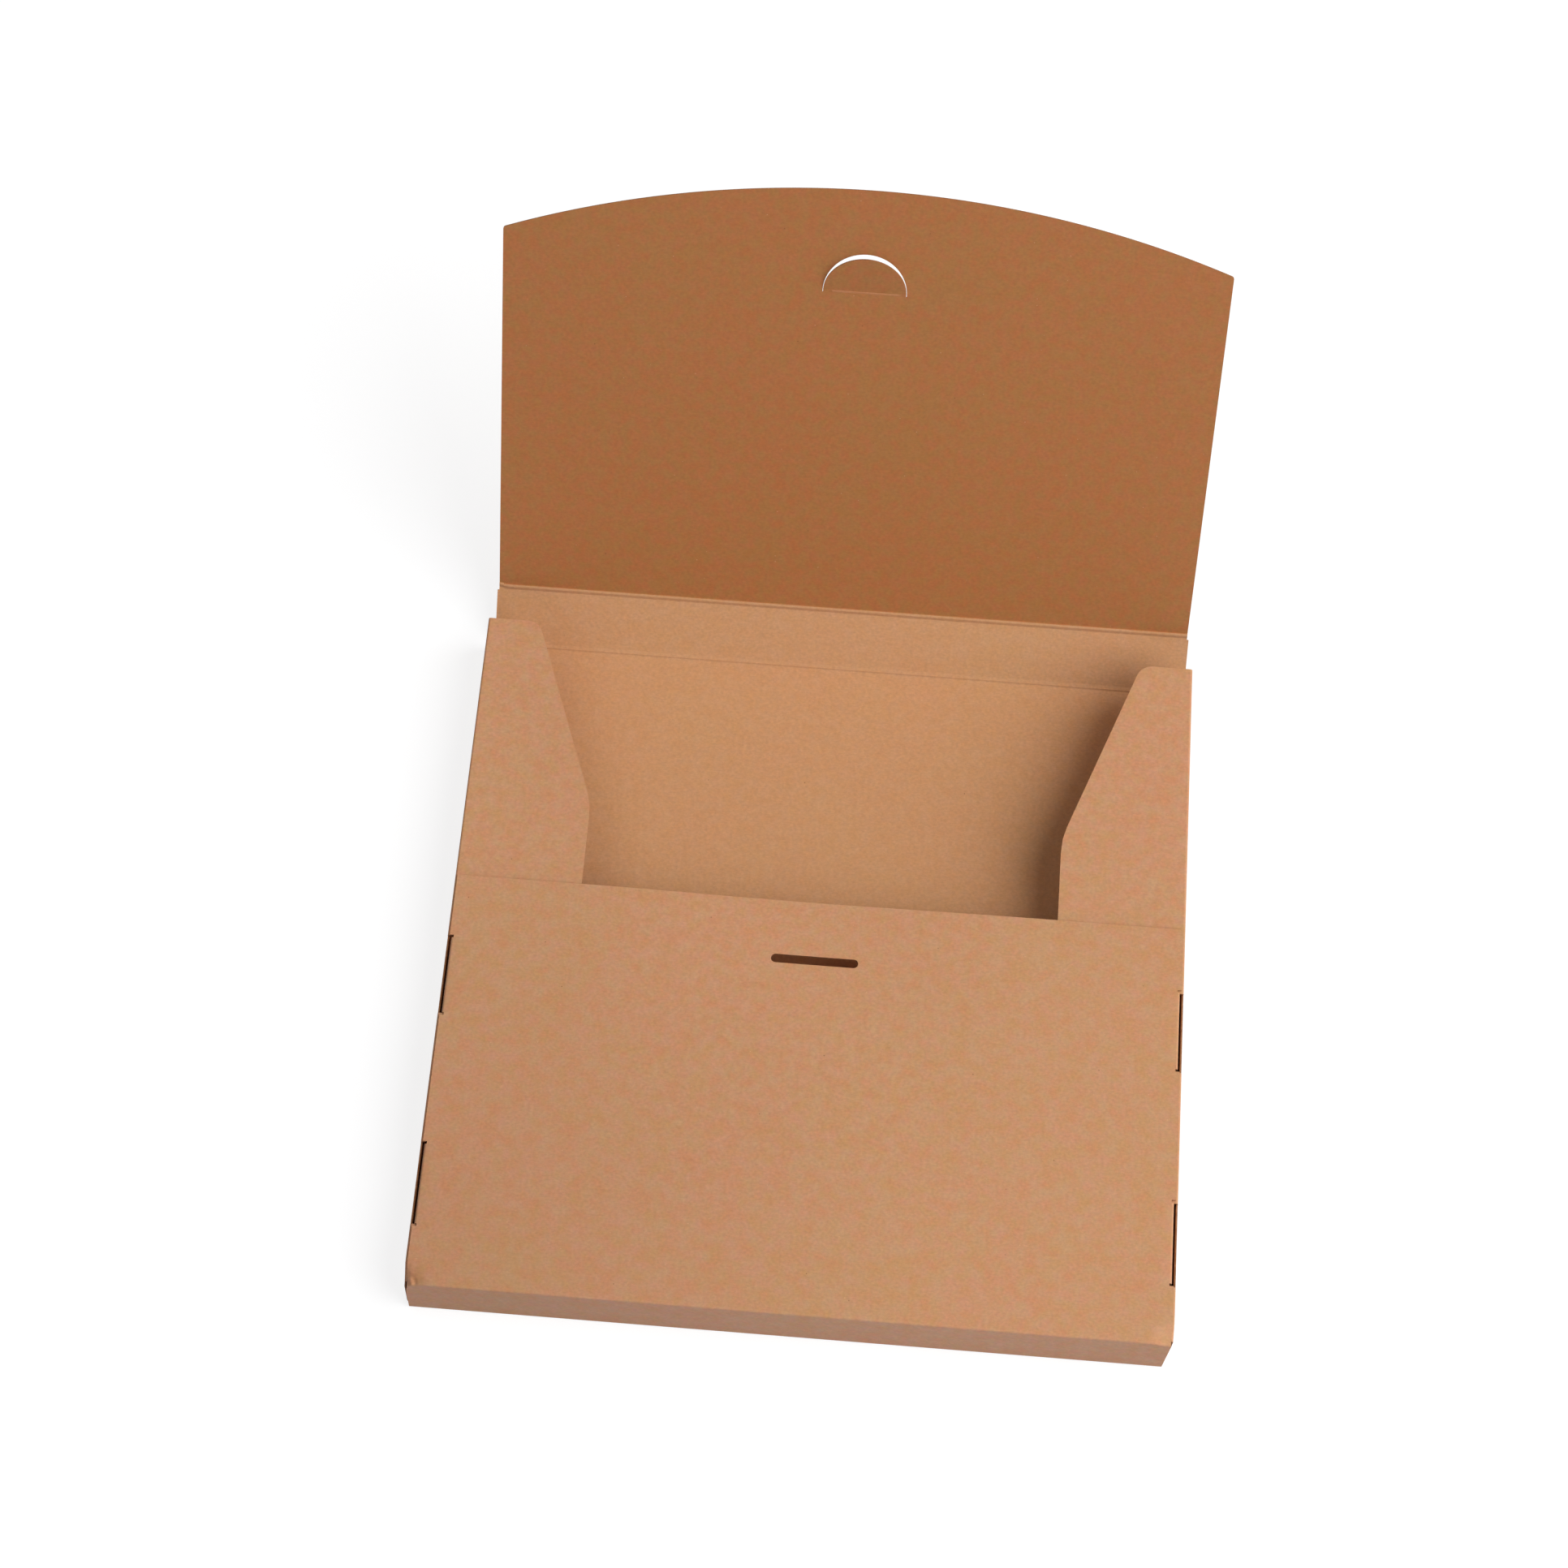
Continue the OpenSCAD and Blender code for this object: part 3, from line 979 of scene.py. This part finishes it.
def make_floor():
    """Floor that is white to the camera but keeps the shadow, and lights the box as a table does."""
    mesh = bpy.data.meshes.new("floor")
    turns = ((-1, -1), (1, -1), (1, 1), (-1, 1))
    corners = [(x * STAGE_HALF, y * STAGE_HALF, STAGE_Z) for x, y in turns]
    mesh.from_pydata(corners, [], [(0, 1, 2, 3)])
    floor = bpy.data.objects.new("floor", mesh)
    bpy.context.collection.objects.link(floor)
    material, nodes, links = new_material("pale_floor")
    out = nodes.new("ShaderNodeOutputMaterial")
    plain = nodes.new("ShaderNodeBsdfDiffuse")
    plain.inputs["Color"].default_value = STAGE_COLOUR
    seen = nodes.new("ShaderNodeBsdfDiffuse")
    seen.inputs["Color"].default_value = STAGE_SEEN_COLOUR
    glow = nodes.new("ShaderNodeEmission")
    glow.inputs["Strength"].default_value = STAGE_GLOW
    both = nodes.new("ShaderNodeAddShader")
    links.new(seen.outputs[0], both.inputs[0])
    links.new(glow.outputs[0], both.inputs[1])
    mix = nodes.new("ShaderNodeMixShader")
    links.new(seen_directly(nodes, links), mix.inputs[0])
    links.new(plain.outputs[0], mix.inputs[1])
    links.new(both.outputs[0], mix.inputs[2])
    links.new(mix.outputs[0], out.inputs[0])
    mesh.materials.append(material)


def make_world():
    """White to the camera, and dim to everything else."""
    world = bpy.data.worlds.new("studio")
    bpy.context.scene.world = world
    world.use_nodes = True
    tree = world.node_tree
    nodes, links = tree.nodes, tree.links
    nodes.clear()
    out = nodes.new("ShaderNodeOutputWorld")
    air = nodes.new("ShaderNodeBackground")
    air.inputs["Color"].default_value = (1, 1, 1, 1)
    air.inputs["Strength"].default_value = AIR_LIGHT
    white = nodes.new("ShaderNodeBackground")
    white.inputs["Color"].default_value = (1, 1, 1, 1)
    white.inputs["Strength"].default_value = WHITE
    mix = nodes.new("ShaderNodeMixShader")
    links.new(seen_directly(nodes, links), mix.inputs[0])
    links.new(air.outputs[0], mix.inputs[1])
    links.new(white.outputs[0], mix.inputs[2])
    links.new(mix.outputs[0], out.inputs[0])


# Each lamp's name, heading and height in degrees, distance, size, power and colour
LAMPS = (
    ("window", -12, 40, 2.2, 3.0, 77, (1, 1, 1)),
    ("front_left_fill", 210, 57, 1.7, 1.2, 2.8, (1, 1, 1)),
    ("rear_left_fill", 150, 60, 1.7, 1.2, 3.4, (1, 1, 1)),
    ("low_front_fill", 265, 12, 1.7, 0.8, 4.8, (0.82, 0.82, 1.0)),
    ("low_rear_fill", 95, 14, 2.0, 1.0, 8, (1, 1, 1)),
)


def make_lamp(name, heading, up, distance, size, power, colour):
    """Soft disk lamp that looks at the box; heading is the angle from +X towards +Y, in degrees."""
    data = bpy.data.lights.new(name, "AREA")
    data.shape = "DISK"
    data.size = size
    data.energy = power
    data.color = colour
    lamp = bpy.data.objects.new(name, data)
    flat = distance * math.cos(math.radians(up))
    lamp.location = (
        flat * math.cos(math.radians(heading)),
        flat * math.sin(math.radians(heading)),
        distance * math.sin(math.radians(up)),
    )
    lamp.rotation_euler = lamp.location.to_track_quat("Z", "Y").to_euler()
    bpy.context.collection.objects.link(lamp)


# Camera fitted to the photograph; its axis lies off the middle of the picture, in pixels
CAMERA_PLACE = (0.0090, -0.5347, 1.1697)
CAMERA_HEADING = math.radians(4.474)
CAMERA_DOWN = math.radians(61.856)
CAMERA_ROLL = math.radians(0.334)
IMAGE_SIDE = 1932
FOCAL_PIXELS = 4600
SENSOR_WIDTH = 36
AXIS_OFFSET = (-80, -40)


def make_camera():
    data = bpy.data.cameras.new("camera")
    data.sensor_width = SENSOR_WIDTH
    data.lens = FOCAL_PIXELS / IMAGE_SIDE * SENSOR_WIDTH
    data.shift_x = -AXIS_OFFSET[0] / IMAGE_SIDE
    data.shift_y = AXIS_OFFSET[1] / IMAGE_SIDE
    data.clip_end = 20
    camera = bpy.data.objects.new("camera", data)
    turn = Matrix.Rotation(CAMERA_HEADING, 4, "Z")
    tilt = Matrix.Rotation(math.pi / 2 - CAMERA_DOWN, 4, "X")
    roll = Matrix.Rotation(CAMERA_ROLL, 4, "Z")
    camera.matrix_world = Matrix.Translation(CAMERA_PLACE) @ turn @ tilt @ roll
    bpy.context.collection.objects.link(camera)
    bpy.context.scene.camera = camera


make_floor()
make_world()
for lamp_facts in LAMPS:
    make_lamp(*lamp_facts)
make_camera()
bpy.context.scene.view_settings.view_transform = "Standard"
